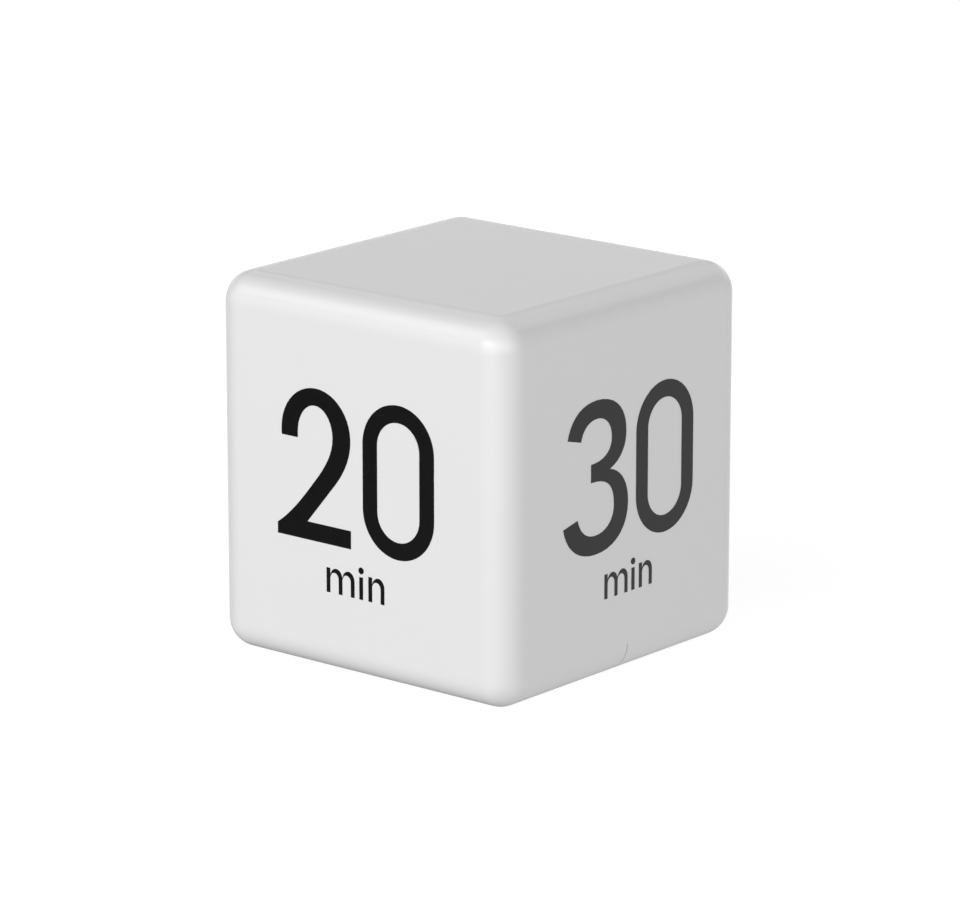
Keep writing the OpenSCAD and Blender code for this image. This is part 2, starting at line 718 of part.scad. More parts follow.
module battery_lead_red() color("red")
    lead(5, [[tab_x, cell_y[1], tab_z[0]], [tab_x, cell_y[1], tab_z[1]], [-21.5, 15, 26], [-19.5, 10, 34]]);
module battery_lead_black() color("black")
    lead(4, [[tab_x, cell_y[0], tab_z[0]], [tab_x, cell_y[0], tab_z[1]], [-22, 6, 25], [-19.5, 4.5, 34]]);
module buzzer_lead_red() color("red")
    lead(3, [[-11, -12.5, 4], [-13.5, -12, 6], [-17, -9, 14], [-20, -3, 24], [-19.5, 1, 34]]);
module buzzer_lead_black() color("black")
    lead(2, [[-12, -20.6, 3.78], [-15, -19, 6], [-20, -14, 14], [-21.5, -8, 24], [-19.5, -2.5, 34]]);
module switch_lead_yellow() color("yellow")
    lead(1, [[14, -12, 10.6], [12, -11.6, 13], [5, -10.5, 17],
        [-6, -8.5, 20], [-15, -6, 26], [-18.5, -4.2, 34]]);
module switch_lead_blue() color("blue")
    lead(0, [[14, -9, 10.6], [12, -9.3, 12.2], [4, -12.5, 15.2],
        [-8, -13, 17.5], [-17, -10.5, 25], [-18.5, -7, 34]]);

main_shell();
base_shell();
battery_door();
print_10_min();
print_20_min();
print_30_min();
print_60_min();
base_screws();
aaa_cell_inner();
aaa_cell_outer();
bridge_contact();
bridge_spring();
negative_contact();
negative_spring();
positive_contact();
main_board();
board_screws();
display_housing();
display_segments();
display_pins();
display_diffuser();
controller_chip();
controller_leads();
crystal();
capacitor();
resistors();
wire_connector();
tilt_can_left();
tilt_can_right();
tilt_can_upright();
tilt_header_left();
tilt_header_right();
tilt_header_upright();
tilt_pins();
tilt_ball_left();
tilt_ball_right();
tilt_ball_upright();
buzzer_plate();
buzzer_ceramic();
switch_body();
switch_lever();
switch_knob();
switch_board();
switch_board_screws();
battery_lead_red();
battery_lead_black();
buzzer_lead_red();
buzzer_lead_black();
switch_lead_yellow();
switch_lead_blue();
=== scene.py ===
import json
import math

import bmesh
import bpy
from mathutils import Matrix, Vector


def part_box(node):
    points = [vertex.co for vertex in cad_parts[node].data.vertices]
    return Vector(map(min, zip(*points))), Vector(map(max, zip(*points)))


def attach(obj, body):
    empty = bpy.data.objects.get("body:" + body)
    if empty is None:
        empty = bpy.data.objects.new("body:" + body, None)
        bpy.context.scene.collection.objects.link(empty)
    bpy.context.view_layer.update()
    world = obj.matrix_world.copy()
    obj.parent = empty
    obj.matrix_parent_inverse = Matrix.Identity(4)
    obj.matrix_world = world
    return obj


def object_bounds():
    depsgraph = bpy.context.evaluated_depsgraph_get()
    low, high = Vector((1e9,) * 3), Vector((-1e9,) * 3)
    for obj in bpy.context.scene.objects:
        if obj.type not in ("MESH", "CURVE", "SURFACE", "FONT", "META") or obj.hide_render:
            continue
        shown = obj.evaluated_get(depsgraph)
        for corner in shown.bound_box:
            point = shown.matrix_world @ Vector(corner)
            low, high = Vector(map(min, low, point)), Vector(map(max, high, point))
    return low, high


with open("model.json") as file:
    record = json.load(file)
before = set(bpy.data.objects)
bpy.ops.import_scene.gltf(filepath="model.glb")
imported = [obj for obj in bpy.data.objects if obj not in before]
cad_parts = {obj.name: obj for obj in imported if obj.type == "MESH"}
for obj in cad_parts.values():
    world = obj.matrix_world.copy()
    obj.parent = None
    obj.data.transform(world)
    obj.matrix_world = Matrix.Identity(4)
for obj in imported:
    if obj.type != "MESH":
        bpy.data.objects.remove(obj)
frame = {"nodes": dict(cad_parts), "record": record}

cad_low, cad_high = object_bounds()
record = frame["record"]
scene = bpy.context.scene
MM = 0.001
centre = (cad_low + cad_high) / 2

# The materials that come with the CAD model hold the slots' names
for imported in list(bpy.data.materials):
    bpy.data.materials.remove(imported)


# ---------- node helpers ----------

class Nodes:
    """A short way to build one node tree."""

    def __init__(self, tree):
        self.tree = tree
        tree.nodes.clear()

    def put(self, value, socket):
        """Link a socket's value, or set a plain one."""
        if isinstance(value, bpy.types.NodeSocket):
            self.tree.links.new(value, socket)
        else:
            socket.default_value = value

    def add(self, kind, inputs=None, **settings):
        """A new node, with its settings and its inputs filled in."""
        node = self.tree.nodes.new(kind)
        for key, value in settings.items():
            setattr(node, key, value)
        for key, value in (inputs or {}).items():
            self.put(value, node.inputs[key])
        return node

    def math(self, operation, *values):
        node = self.add("ShaderNodeMath", operation=operation)
        for index, value in enumerate(values):
            self.put(value, node.inputs[index])
        return node.outputs[0]

    def product(self, *values):
        total = values[0]
        for value in values[1:]:
            total = self.math("MULTIPLY", total, value)
        return total

    def highest(self, *values):
        top = values[0]
        for value in values[1:]:
            top = self.math("MAXIMUM", top, value)
        return top

    def place(self):
        """Position in the row frame, in metres: CAD nodes sit at the origin."""
        return self.add("ShaderNodeTexCoord").outputs["Object"]

    def from_point(self, point):
        """x, y and z in metres, measured from a point."""
        moved = self.add("ShaderNodeVectorMath", {0: self.place(), 1: tuple(point)}, operation="SUBTRACT")
        return self.add("ShaderNodeSeparateXYZ", {0: moved.outputs[0]}).outputs[0:3]

    def radius(self, a, b):
        """Distance from the line where both a and b are 0."""
        return self.math("SQRT", self.math("ADD", self.product(a, a), self.product(b, b)))

    def facing(self, axis):
        """How far the surface looks along an axis, either way, from 0 to 1."""
        normal = self.add("ShaderNodeNewGeometry").outputs["True Normal"]
        parts = self.add("ShaderNodeSeparateXYZ", {0: normal}).outputs
        return self.math("ABSOLUTE", parts[axis])

    def noise(self, size, detail=3.0, stretch=(1, 1, 1)):
        """Noise from 0 to 1 whose features are about `size` metres across."""
        spread = self.add("ShaderNodeMapping", {"Vector": self.place(), "Scale": stretch})
        inputs = {"Vector": spread.outputs[0], "Scale": 1 / size, "Detail": detail}
        return self.add("ShaderNodeTexNoise", inputs).outputs["Fac"]

    def remap(self, value, low, high, start=0.3, end=0.7, smooth=False):
        """Number from low to high as value goes from start to end, and held there outside."""
        inputs = {"Value": value, "From Min": start, "From Max": end, "To Min": low, "To Max": high}
        curve = "SMOOTHSTEP" if smooth else "LINEAR"
        return self.add("ShaderNodeMapRange", inputs, interpolation_type=curve).outputs["Result"]

    def near(self, value, reach, soft=0.02 * MM):
        """1 where value is within reach of 0."""
        return self.remap(self.math("ABSOLUTE", value), 1, 0, reach - soft, reach + soft)

    def less(self, value, amount):
        """Value minus amount."""
        return self.math("SUBTRACT", value, amount)

    def mix(self, factor, a, b):
        """Colour from a to b as factor goes from 0 to 1."""
        node = self.add("ShaderNodeMix", data_type="RGBA")
        for index, value in ((0, factor), (6, a), (7, b)):
            self.put(value, node.inputs[index])
        return node.outputs[2]

    def blend(self, factor, a, b):
        """Number from a to b as factor goes from 0 to 1."""
        node = self.add("ShaderNodeMix", data_type="FLOAT")
        for index, value in ((0, factor), (2, a), (3, b)):
            self.put(value, node.inputs[index])
        return node.outputs[0]

    def bump(self, height, depth, normal=None):
        """Bump whose full height is `depth` metres: a hollow where the depth is below 0."""
        inputs = {"Height": height, "Distance": abs(depth), "Strength": 1.0}
        if normal is not None:
            inputs["Normal"] = normal
        return self.add("ShaderNodeBump", inputs, invert=depth < 0).outputs["Normal"]

    def soft_edges(self, radius):
        """Normal that rounds the sharp edges of a moulded or cut part."""
        return self.add("ShaderNodeBevel", {"Radius": radius}, samples=6).outputs[0]

    def surface(self, colour, rough, normal, metallic=0.0, **sockets):
        """The Principled shader and the output."""
        inputs = {"Base Color": colour, "Roughness": rough, "Metallic": metallic, **sockets}
        if normal is not None:
            inputs["Normal"] = normal
        shader = self.add("ShaderNodeBsdfPrincipled", inputs)
        self.add("ShaderNodeOutputMaterial", {0: shader.outputs[0]})


def rgba(colour, gain=1.0):
    """The colour, brighter or darker by gain, with full alpha."""
    return (*[min(1.0, c * gain) for c in colour[:3]], 1.0)


def new_material(name):
    material = bpy.data.materials.new(name)
    material.use_nodes = True
    return material, Nodes(material.node_tree)


# ---------- materials that several slots share ----------

def plastic(name, colour, rough, grain=0.15 * MM, depth=0.002 * MM, shade=0.04, edge=0.08 * MM, **sockets):
    """Moulded plastic: faint colour drift, fine mould grain, uneven gloss and eased edges."""
    material, n = new_material(name)
    tone = n.mix(n.noise(4 * MM, 2), rgba(colour, 1 - shade), rgba(colour, 1 + shade))
    roughness = n.remap(n.noise(1.5 * MM, 4), rough * 0.88, rough * 1.12)
    n.surface(tone, roughness, n.bump(n.noise(grain, 2), depth, n.soft_edges(edge)), **sockets)
    return material


def metal(name, colour, rough, stretch=(1, 1, 1), size=0.25 * MM, depth=0.0012 * MM, edge=0.05 * MM):
    """Bare metal: rolled, drawn or tumbled marks, slight tarnish and eased edges."""
    material, n = new_material(name)
    marks = n.noise(size, 5, stretch)
    tone = n.mix(n.noise(2.5 * MM, 4), rgba(colour, 0.92), rgba(colour, 1.04))
    roughness = n.remap(marks, rough * 0.85, rough * 1.2)
    n.surface(tone, roughness, n.bump(marks, depth, n.soft_edges(edge)), metallic=1.0)
    return material


def wire(name, colour):
    """Extruded insulation: satin, with a faint ripple along the wire."""
    return plastic(name, colour, 0.36, grain=0.5 * MM, depth=0.006 * MM, shade=0.1, edge=0.03 * MM)


# ---------- the case and its print ----------

SHELL_COLOUR = (0.80, 0.80, 0.80)
SHELL_ROUGH = 0.22
INK_DARK = (0.004, 0.004, 0.0045, 1)
INK_LIGHT = (0.0065, 0.0065, 0.007, 1)


def shell(name):
    """White ABS: satin grain, edges a little polished by hands, and hardly any drift in colour."""
    material, n = new_material(name)
    x, y, z = (n.math("ABSOLUTE", value) for value in n.from_point(centre))
    # The second largest of the three is near its limit only along the edges and at the corners
    second = n.highest(n.math("MINIMUM", x, y), n.math("MINIMUM", n.highest(x, y), z))
    reach = cad_high.x
    handled = n.remap(second, 0, 1, reach - 6 * MM, reach - 1.5 * MM, smooth=True)
    rough = n.remap(n.noise(5 * MM, 4), SHELL_ROUGH * 0.96, SHELL_ROUGH * 1.04)
    rough = n.blend(handled, rough, n.math("MULTIPLY", rough, 0.92))
    tone = n.mix(n.noise(18 * MM, 3), rgba(SHELL_COLOUR, 0.995), rgba(SHELL_COLOUR, 1.005))
    sink = n.bump(n.noise(16 * MM, 1), 0.012 * MM)
    n.surface(tone, rough, n.bump(n.noise(0.16 * MM, 2), 0.0006 * MM, sink))
    return material


def ink(name):
    """Pad-printed black: thin, smooth, with the pad's faint mottle."""
    material, n = new_material(name)
    tone = n.mix(n.noise(0.8 * MM, 4), INK_DARK, INK_LIGHT)
    rough = n.remap(n.noise(0.6 * MM, 4), 0.21, 0.25)
    n.surface(tone, rough, n.bump(n.noise(0.2 * MM, 3), 0.0008 * MM))
    return material


# ---------- the record's colours ----------

slot_info = {m["slot"]: m for m in record["materials"]}


def base(slot):
    """The colour that the record gives for a slot."""
    return slot_info[slot]["base_color"]


# ---------- battery cells ----------

STEEL = (0.60, 0.60, 0.61, 1)
CREAM = (0.82, 0.80, 0.70, 1)
COPPER = (0.78, 0.43, 0.20, 1)


def cell_wrap(name, node, plus_side):
    """Shrink-wrapped cell: coloured sleeve, metallic band at the + end, printed marks and bare ends."""
    low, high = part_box(node)
    minus_end = low.x if plus_side > 0 else high.x
    # Places along the cell, from its - end
    line_at, minus_at, band_at, plus_at = 2 * MM, 6 * MM, 31 * MM, 37 * MM
    # Half the length and half the width of the strokes of the + and - marks
    long, thin = 1.5 * MM, 0.3 * MM
    material, n = new_material(name)
    x, y, z = n.from_point((minus_end, (low.y + high.y) / 2, (low.z + high.z) / 2))
    along = n.product(x, plus_side)
    rim = (high.y - low.y) / 2
    bare = n.highest(n.remap(n.radius(y, z), 1, 0, rim - 0.75 * MM, rim - 0.65 * MM),
                     n.remap(n.facing(0), 0, 1, 0.8, 0.9))
    band = n.remap(along, 0, 1, band_at, 31.05 * MM)
    line = n.highest(n.near(n.less(along, band_at), thin), n.near(n.less(along, line_at), 0.2 * MM))
    below = n.remap(z, 1, 0, -0.01 * MM, 0)
    dash = [n.product(n.near(n.less(along, at), long), n.near(y, thin)) for at in (minus_at, plus_at)]
    upright = n.product(n.near(n.less(along, plus_at), thin), n.near(y, long))
    printed = n.highest(line, n.product(below, n.highest(*dash, upright)))
    tone = n.mix(n.noise(6 * MM, 3), rgba(base("cell_jacket"), 0.88), rgba(base("cell_jacket"), 1.1))
    tone = n.mix(band, tone, n.mix(n.noise(3 * MM, 4), rgba(COPPER, 0.9), rgba(COPPER, 1.05)))
    tone = n.mix(bare, n.mix(printed, tone, CREAM), n.mix(n.noise(1.2 * MM, 4), rgba(STEEL, 0.8), STEEL))
    metallic = n.highest(bare, n.product(band, n.less(1, printed), 0.85))
    rough = n.blend(bare, n.remap(n.noise(2 * MM, 4), 0.2, 0.3), n.remap(n.noise(0.5 * MM, 4), 0.22, 0.42))
    seam = n.product(n.near(n.less(z, 1.2 * MM), 0.25 * MM, 0.1 * MM), n.remap(y, 1, 0, -0.01 * MM, 0))
    ends = n.highest(n.remap(along, 1, 0, 0, 1.6 * MM), n.remap(along, 0, 1, 42 * MM, 43.6 * MM))
    wrinkles = n.product(ends, n.noise(0.7 * MM, 3, (0.3, 1, 1)))
    relief = n.bump(wrinkles, 0.06 * MM, n.bump(seam, 0.03 * MM, n.bump(n.noise(0.5 * MM, 2), 0.002 * MM)))
    n.surface(tone, rough, relief, metallic=metallic)
    return material


# ---------- circuit board and what it carries ----------

MASKED_COPPER = (0.10, 0.36, 0.13, 1)
FIBRE_DARK = (0.42, 0.36, 0.18, 1)
FIBRE_LIGHT = (0.60, 0.53, 0.32, 1)
TRACK_T = 0.035 * MM
STRIPE = (0.62, 0.64, 0.68, 1)
ALUMINIUM_DARK = (0.6, 0.6, 0.62, 1)
ALUMINIUM_LIGHT = (0.8, 0.8, 0.82, 1)
SILVER_DARK = (0.66, 0.65, 0.62, 1)
SILVER_LIGHT = (0.84, 0.83, 0.80, 1)
DISPLAY_BLACK = (0.012, 0.012, 0.013, 1)

def laminate(name):
    """Green mask over woven glass, with the bare laminate along the cut edges."""
    material, n = new_material(name)
    x, y, z = n.from_point((0, 0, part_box("main_board")[0].z))
    pitch = 0.55 * MM
    weave = n.math("ADD", *[n.math("SINE", n.product(v, math.tau / pitch)) for v in (x, y)])
    cut = n.product(n.remap(n.facing(2), 1, 0, 0.5, 0.7), n.less(1, n.near(z, 0.04 * MM)))
    mask = n.mix(n.noise(7 * MM, 4), rgba(base(name), 0.8), rgba(base(name), 1.2))
    copper = n.near(n.less(z, -TRACK_T), 0.015 * MM, 0.01 * MM)
    mask = n.mix(n.product(copper, 0.8), mask, MASKED_COPPER)
    fibre = n.mix(n.noise(0.5 * MM, 4, (1, 1, 6)), FIBRE_DARK, FIBRE_LIGHT)
    rough = n.blend(cut, n.remap(n.noise(2 * MM, 4), 0.24, 0.34), 0.75)
    n.surface(n.mix(cut, mask, fibre), rough, n.bump(weave, 0.0015 * MM, n.bump(cut, 0.002 * MM)))
    return material


def sleeve(name):
    """Capacitor: dark sleeve with a light polarity stripe and dashes, and a scored aluminium end."""
    low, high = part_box("capacitor")
    reach = (high.x - low.x) / 2
    material, n = new_material(name)
    x, y, z = n.from_point(((low.x + high.x) / 2, (low.y + high.y) / 2, low.z))
    end = n.product(n.remap(z, 1, 0, 0.1 * MM, 0.2 * MM), n.remap(n.radius(x, y), 1, 0, 2.1 * MM, 2.2 * MM))
    stripe = n.remap(x, 0, 1, reach * 0.55, reach * 0.6)
    dash_pitch = 2 * MM
    height = n.less(n.math("FRACT", n.product(z, 1 / dash_pitch)), 0.5)
    dash = n.product(stripe, n.near(y, 0.5 * MM), n.near(height, 0.1, 0.02))
    tone = n.mix(n.noise(2 * MM, 3), rgba(base(name), 0.85), rgba(base(name), 1.15))
    tone = n.mix(stripe, tone, STRIPE)
    tone = n.mix(dash, tone, rgba(base(name), 0.6))
    tone = n.mix(end, tone, n.mix(n.noise(0.6 * MM, 4), ALUMINIUM_DARK, ALUMINIUM_LIGHT))
    score = n.product(end, n.highest(n.near(x, 0.12 * MM), n.near(y, 0.12 * MM)))
    rough = n.blend(end, n.remap(n.noise(1.5 * MM, 3), 0.16, 0.26), 0.34)
    n.surface(tone, rough, n.bump(score, -0.12 * MM, n.bump(n.noise(0.6 * MM, 2), 0.004 * MM)), metallic=end)
    return material


def chip(name):
    """Moulded epoxy with a fine sparkle, a round dimple by its first lead and eased edges."""
    low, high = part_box("controller_chip")
    material, n = new_material(name)
    x, y, z = n.from_point((low.x + 1 * MM, low.y + 1 * MM, low.z))
    under = n.remap(z, 1, 0, 0.01 * MM, 0.05 * MM)
    dimple = n.product(under, n.remap(n.radius(x, y), 1, 0, 0.3 * MM, 0.5 * MM, smooth=True))
    tone = n.mix(n.noise(0.1 * MM, 3), rgba(base(name), 0.7), rgba(base(name), 1.35))
    rough = n.blend(dimple, n.remap(n.noise(0.4 * MM, 4), 0.5, 0.68), 0.25)
    grain = n.bump(n.noise(0.07 * MM, 3), 0.005 * MM, n.soft_edges(0.08 * MM))
    n.surface(tone, rough, n.bump(dimple, -0.15 * MM, grain))
    return material


def ceramic(name):
    """Fired ceramic disc with a printed silver electrode that stops short of its rim."""
    low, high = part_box("buzzer_ceramic")
    material, n = new_material(name)
    x, y, z = n.from_point(((low.x + high.x) / 2, (low.y + high.y) / 2, high.z))
    silver = n.product(n.remap(z, 0, 1, -0.06 * MM, -0.03 * MM),
                       n.near(n.radius(x, y), (high.x - low.x) / 2 - 0.6 * MM))
    fired = n.mix(n.noise(1.5 * MM, 4), rgba(base(name), 0.85), rgba(base(name), 1.05))
    coat = n.mix(n.noise(0.9 * MM, 5), SILVER_DARK, SILVER_LIGHT)
    rough = n.blend(silver, 0.62, n.remap(n.noise(0.3 * MM, 4), 0.38, 0.55))
    n.surface(n.mix(silver, fired, coat), rough, n.bump(n.noise(0.12 * MM, 4), 0.006 * MM),
              metallic=n.product(silver, 0.9))
    return material


def display_body(name):
    """Grey moulded display block whose front is printed black round the segments."""
    low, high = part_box("display_housing")
    material, n = new_material(name)
    _, _, z = n.from_point(high)
    front = n.remap(z, 0, 1, -0.03 * MM, -0.01 * MM)
    tone = n.mix(n.noise(3 * MM, 3), rgba(base(name), 0.92), rgba(base(name), 1.06))
    rough = n.remap(n.noise(1 * MM, 4), 0.38, 0.5)
    n.surface(n.mix(front, tone, DISPLAY_BLACK), rough,
              n.bump(n.noise(0.14 * MM, 2), 0.003 * MM, n.soft_edges(0.12 * MM)))
    return material


# ---------- one material for each slot of the record ----------

MAKERS = {
    "white_shell": shell,
    "black_ink": ink,
    "grey_plastic": lambda s: plastic(s, base(s), 0.42),
    "black_plastic": lambda s: plastic(s, base(s), 0.5),
    "ivory_plastic": lambda s: plastic(s, base(s), 0.45),
    "screw_steel": lambda s: metal(s, base(s), 0.32),
    "spring_steel": lambda s: metal(s, base(s), 0.2, stretch=(1, 0.15, 1)),
    "cell_jacket": lambda s: cell_wrap(s, "aaa_cell_inner", 1),
    "circuit_board": laminate,
    "display_grey": display_body,
    "lit_segment": lambda s: plastic(s, base(s), 0.25),
    "diffuser": lambda s: plastic(s, base(s), 0.55, depth=0.004 * MM),
    "chip_black": chip,
    "tinned_lead": lambda s: metal(s, base(s), 0.28),
    "can_metal": lambda s: metal(s, base(s), 0.27),
    "capacitor_sleeve": sleeve,
    "brass": lambda s: metal(s, base(s), 0.3, stretch=(0.06, 1, 1)),
    "gold_plate": lambda s: metal(s, base(s), 0.14),
    "piezo_ceramic": ceramic,
    "red_wire": lambda s: wire(s, base(s)),
    "black_wire": lambda s: wire(s, base(s)),
    "yellow_wire": lambda s: wire(s, base(s)),
    "blue_wire": lambda s: wire(s, base(s)),
}
materials = {slot: MAKERS[slot](slot) for slot in slot_info}


def paint(node, material):
    mesh = frame["nodes"][node].data
    mesh.materials.clear()
    mesh.materials.append(material)


for row in record["subparts"]:
    paint(row["node"], materials[row["material_slot"]])
paint("aaa_cell_outer", cell_wrap("cell_jacket_outer", "aaa_cell_outer", -1))


# ---------- building blocks for the small pieces ----------

UP = Vector((0, 0, 1))
DOWN = Vector((0, 0, -1))
SHARP = math.radians(40)


def piece(name, slot, build, body="housing"):
    """A new mesh made by build(shape), in the slot's material, riding on a body."""
    shape = bmesh.new()
    build(shape)
    bmesh.ops.recalc_face_normals(shape, faces=shape.faces)
    mesh = bpy.data.meshes.new(name)
    shape.to_mesh(mesh)
    shape.free()
    mesh.shade_smooth()
    mesh.set_sharp_from_angle(angle=SHARP)
    mesh.materials.append(materials[slot])
    made = bpy.data.objects.new(name, mesh)
    scene.collection.objects.link(made)
    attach(made, body)


def solids(node):
    """The points of each separate solid of a CAD node."""
    shape = bmesh.new()
    shape.from_mesh(frame["nodes"][node].data)
    bmesh.ops.remove_doubles(shape, verts=shape.verts, dist=0.001 * MM)
    shape.verts.ensure_lookup_table()
    shape.verts.index_update()
    seen, groups = set(), []
    for first in shape.verts:
        if first.index in seen:
            continue
        seen.add(first.index)
        open_ends, group = [first], []
        while open_ends:
            vert = open_ends.pop()
            group.append(vert.co.copy())
            for edge in vert.link_edges:
                other = edge.other_vert(vert)
                if other.index not in seen:
                    seen.add(other.index)
                    open_ends.append(other)
        groups.append(group)
    shape.free()
    return groups


def corners(points):
    """The low and the high corner of the box round some points."""
    return (Vector([min(p[i] for p in points) for i in range(3)]),
            Vector([max(p[i] for p in points) for i in range(3)]))


def middle(points):
    """The mean of some points."""
    return sum(points, Vector()) / len(points)


def turned(shape, profile, foot, along, sides=20, hollow=False):
    """Surface of revolution: profile is (radius, height) from the foot, along a direction.
    Hollow joins its last point to its first, as for a washer, and otherwise both ends are closed."""
    across = along.orthogonal().normalized()
    other = along.cross(across)
    rings = []
    angles = [math.tau * k / sides for k in range(sides)]
    for radius, height in profile:
        at = foot + along * height
        if radius == 0:
            rings.append([shape.verts.new(at)] * sides)
            continue
        spokes = [math.cos(a) * across + math.sin(a) * other for a in angles]
        rings.append([shape.verts.new(at + radius * spoke) for spoke in spokes])
    for low, high in zip(rings, rings[1:] + rings[:1] * hollow):
        for k in range(sides):
            around = [low[k - 1], low[k], high[k], high[k - 1]]
            shape.faces.new(list(dict.fromkeys(around)))
    for ring in () if hollow else (rings[0], rings[-1]):
        if ring[0] is not ring[1]:
            shape.faces.new(ring)


def mound(shape, foot, along, wide, narrow, height):
    """Solder that climbs a pin: a concave cone, rounded over at its tip."""
    steps = 6
    profile = [(narrow + (wide - narrow) * (1 - math.sin(math.pi / 2 * k / steps)),
                height * (1 - math.cos(math.pi / 2 * k / steps))) for k in range(steps + 1)]
    tip = [(narrow * 0.6, height * 1.06), (0, height * 1.08)]
    turned(shape, [(wide, 0)] + profile[1:] + tip, foot, along, 16)


def bead(shape, centre, radii, seed, lowest=-1):
    """A lump of solder: an ellipsoid with a slightly uneven skin, flat where it would go below `lowest`."""
    made = bmesh.ops.create_icosphere(shape, subdivisions=3, radius=1)
    for vert in made["verts"]:
        a, b, c = vert.co
        waves = math.sin(3 * a + seed) * math.cos(4 * b - seed)
        swell = 1 + 0.05 * waves + 0.03 * math.sin(6 * c + 2 * seed)
        vert.co = centre + Vector((a * radii[0], b * radii[1], c * radii[2])) * swell
        vert.co.z = max(vert.co.z, lowest)


def block(shape, low, high, bevel):
    """A box with rounded edges. Bevel leaves its points and faces in an order that changes from run to
    run, so the box is made apart and then added in the order of its coordinates."""
    box = bmesh.new()
    for vert in bmesh.ops.create_cube(box, size=1)["verts"]:
        vert.co = Vector([low[i] if vert.co[i] < 0 else high[i] for i in range(3)])
    bmesh.ops.bevel(box, geom=box.edges[:], offset=bevel, segments=3, profile=0.5, affect="EDGES")
    ordered = sorted(box.verts, key=lambda vert: vert.co[:])
    rank = {vert: k for k, vert in enumerate(ordered)}
    added = [shape.verts.new(vert.co) for vert in ordered]
    faces = []
    for face in box.faces:
        around = [rank[vert] for vert in face.verts]
        first = around.index(min(around))
        faces.append(around[first:] + around[:first])
    for around in sorted(faces):
        shape.faces.new([added[k] for k in around])
    box.free()


def fillet(shape, corner, out, width, reach, height):
    """Solder under the board against an upright face: a concave wedge that runs out from the corner."""
    across = out.cross(DOWN)
    steps = 5
    arc = [math.pi / 2 * k / steps for k in range(steps + 1)]
    outline = [(reach * (1 - math.sin(a)), height * (1 - math.cos(a))) for a in arc]
    outline.append((0, 0))
    sides = [[shape.verts.new(corner + out * a + DOWN * b + across * s * width / 2) for a, b in outline]
             for s in (-1, 1)]
    for ring in sides:
        shape.faces.new(ring)
    for k in range(len(outline)):
        shape.faces.new((sides[0][k - 1], sides[1][k - 1], sides[1][k], sides[0][k]))


def track(shape, points, width, top, thickness):
    """A flat strip through points given as (x, y), mitred at its bends, hanging below `top`."""
    path = [Vector((x, y, 0)) for x, y in points]
    path = [at for k, at in enumerate(path) if k == 0 or (at - path[k - 1]).length > 0.01 * MM]
    left, right = [], []
    for k, at in enumerate(path):
        before = (at - path[k - 1]).normalized() if k else None
        after = (path[k + 1] - at).normalized() if k + 1 < len(path) else None
        heading = ((before or after) + (after or before)).normalized()
        side = heading.cross(UP) * (width / 2 / heading.dot(after or before))
        left.append(at - side)
        right.append(at + side)
    outline = left + right[::-1]
    levels = [[shape.verts.new((p.x, p.y, z)) for p in outline] for z in (top, top - thickness)]
    for level in levels:
        for k in range(len(path) - 1):
            shape.faces.new((level[k], level[k + 1], level[-k - 2], level[-k - 1]))
    for k in range(len(outline)):
        shape.faces.new((levels[0][k - 1], levels[0][k], levels[1][k], levels[1][k - 1]))


# ---------- solder and small parts of the circuit board ----------

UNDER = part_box("main_board")[0].z
WIRE_PITCH = 2.5 * MM


def pin_solder(shape):
    """A cone of solder round each pin of the display and of the tilt sensors."""
    for group in solids("display_pins"):
        at = middle(group)
        foot = Vector((at.x, at.y, UNDER))
        mound(shape, foot, DOWN, wide=0.95 * MM, narrow=0.31 * MM, height=0.62 * MM)
    for group in solids("tilt_pins"):
        at = middle([p for p in group if p.z > UNDER - 0.05 * MM])
        foot = Vector((at.x, at.y, UNDER))
        mound(shape, foot, DOWN, wide=0.62 * MM, narrow=0.24 * MM, height=0.42 * MM)


def chip_solder(shape):
    """Solder at the foot of each lead of the chip."""
    mid = middle(list(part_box("controller_chip")))
    for group in solids("controller_leads"):
        low, high = corners(group)
        out = Vector((0, 1 if low.y > mid.y else -1, 0))
        edge = high.y if out.y > 0 else low.y
        corner = Vector(((low.x + high.x) / 2, edge, UNDER))
        fillet(shape, corner, out, width=0.46 * MM, reach=0.7 * MM, height=0.6 * MM)


def resistor_ends(shape):
    """A metal cap over each end of each resistor, and its solder."""
    cap, skin = 0.42 * MM, 0.02 * MM
    for group in solids("resistors"):
        low, high = corners(group)
        for edge, out in ((low.y, -1), (high.y, 1)):
            a, b = sorted((edge + out * skin, edge - out * cap))
            block(shape, (low.x - skin, a, low.z - skin), (high.x + skin, b, high.z), bevel=0.05 * MM)
            corner = Vector(((low.x + high.x) / 2, edge, UNDER))
            width = high.x - low.x
            fillet(shape, corner, Vector((0, out, 0)), width, reach=0.45 * MM, height=0.4 * MM)


def connector_solder(shape):
    """A tinned tail for each way of the connector, with solder at its end."""
    low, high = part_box("wire_connector")
    ways = 6
    tail, half_w = 0.9 * MM, 0.4 * MM
    for k in range(ways):
        y = (low.y + high.y) / 2 + WIRE_PITCH * (k - (ways - 1) / 2)
        block(shape, (low.x - tail, y - half_w, UNDER - 0.35 * MM),
              (low.x + 0.3 * MM, y + half_w, UNDER), bevel=0.1 * MM)
        corner = Vector((low.x - tail, y, UNDER))
        fillet(shape, corner, Vector((-1, 0, 0)), width=0.9 * MM, reach=0.6 * MM, height=0.32 * MM)


def crystal_flange(shape):
    """The rim round the foot of the crystal's can."""
    low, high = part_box("crystal")
    rim, thick = 0.4 * MM, 0.45 * MM
    block(shape, (low.x - rim, low.y - rim, UNDER - thick),
          (high.x + rim, high.y + rim, UNDER), bevel=0.2 * MM)


